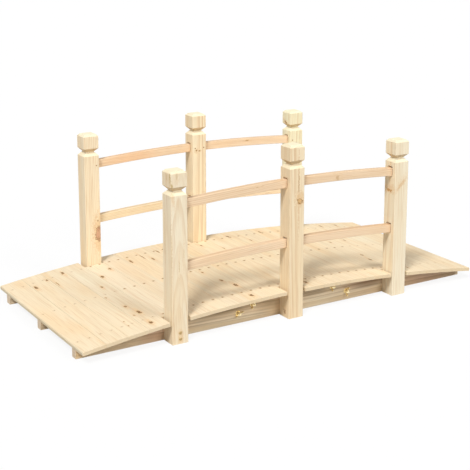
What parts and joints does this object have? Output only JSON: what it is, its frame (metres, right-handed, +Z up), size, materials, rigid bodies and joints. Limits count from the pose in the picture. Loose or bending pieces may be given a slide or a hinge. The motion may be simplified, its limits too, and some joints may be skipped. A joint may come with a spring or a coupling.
{
  "type": "arched garden bridge with railings",
  "caption": "Low arched wooden garden footbridge of softwood, with cross boards on arched beams, square posts with cut heads and curved double rails.",
  "frame": {"origin": "on the ground under the middle of the deck", "axes": "+X along the bridge, +Y across it towards the rear railing, +Z up"},
  "size_m": [1.502, 0.685, 0.572],
  "materials": {
    "deck_wood": "planed bare softwood",
    "beam_wood": "sawn bare softwood",
    "post_wood": "planed bare softwood",
    "rail_wood": "planed bare softwood",
    "brass_fittings": "yellow plated",
    "steel_fasteners": "plain steel"
  },
  "bodies": {
    "root": {"deck_board_01": "deck_wood", "deck_board_02": "deck_wood", "deck_board_03": "deck_wood", "deck_board_04": "deck_wood", "deck_board_05": "deck_wood", "deck_board_06": "deck_wood", "deck_board_07": "deck_wood", "deck_board_08": "deck_wood", "deck_board_09": "deck_wood", "deck_board_10": "deck_wood", "deck_board_11": "deck_wood", "deck_board_12": "deck_wood", "deck_board_13": "deck_wood", "deck_board_14": "deck_wood", "deck_board_15": "deck_wood", "deck_board_16": "deck_wood", "deck_board_17": "deck_wood", "deck_board_18": "deck_wood", "deck_board_19": "deck_wood", "deck_board_20": "deck_wood", "deck_board_21": "deck_wood", "front_beam_left": "beam_wood", "front_beam_right": "beam_wood", "middle_beam_left": "beam_wood", "middle_beam_right": "beam_wood", "rear_beam_left": "beam_wood", "rear_beam_right": "beam_wood", "front_cleat": "beam_wood", "middle_cleat": "beam_wood", "rear_cleat": "beam_wood", "front_post_left": "post_wood", "front_post_middle": "post_wood", "front_post_right": "post_wood", "rear_post_left": "post_wood", "rear_post_middle": "post_wood", "rear_post_right": "post_wood", "front_upper_rail_left": "rail_wood", "front_upper_rail_right": "rail_wood", "front_lower_rail_left": "rail_wood", "front_lower_rail_right": "rail_wood", "rear_upper_rail_left": "rail_wood", "rear_upper_rail_right": "rail_wood", "rear_lower_rail_left": "rail_wood", "rear_lower_rail_right": "rail_wood"}
  },
  "joints": []
}
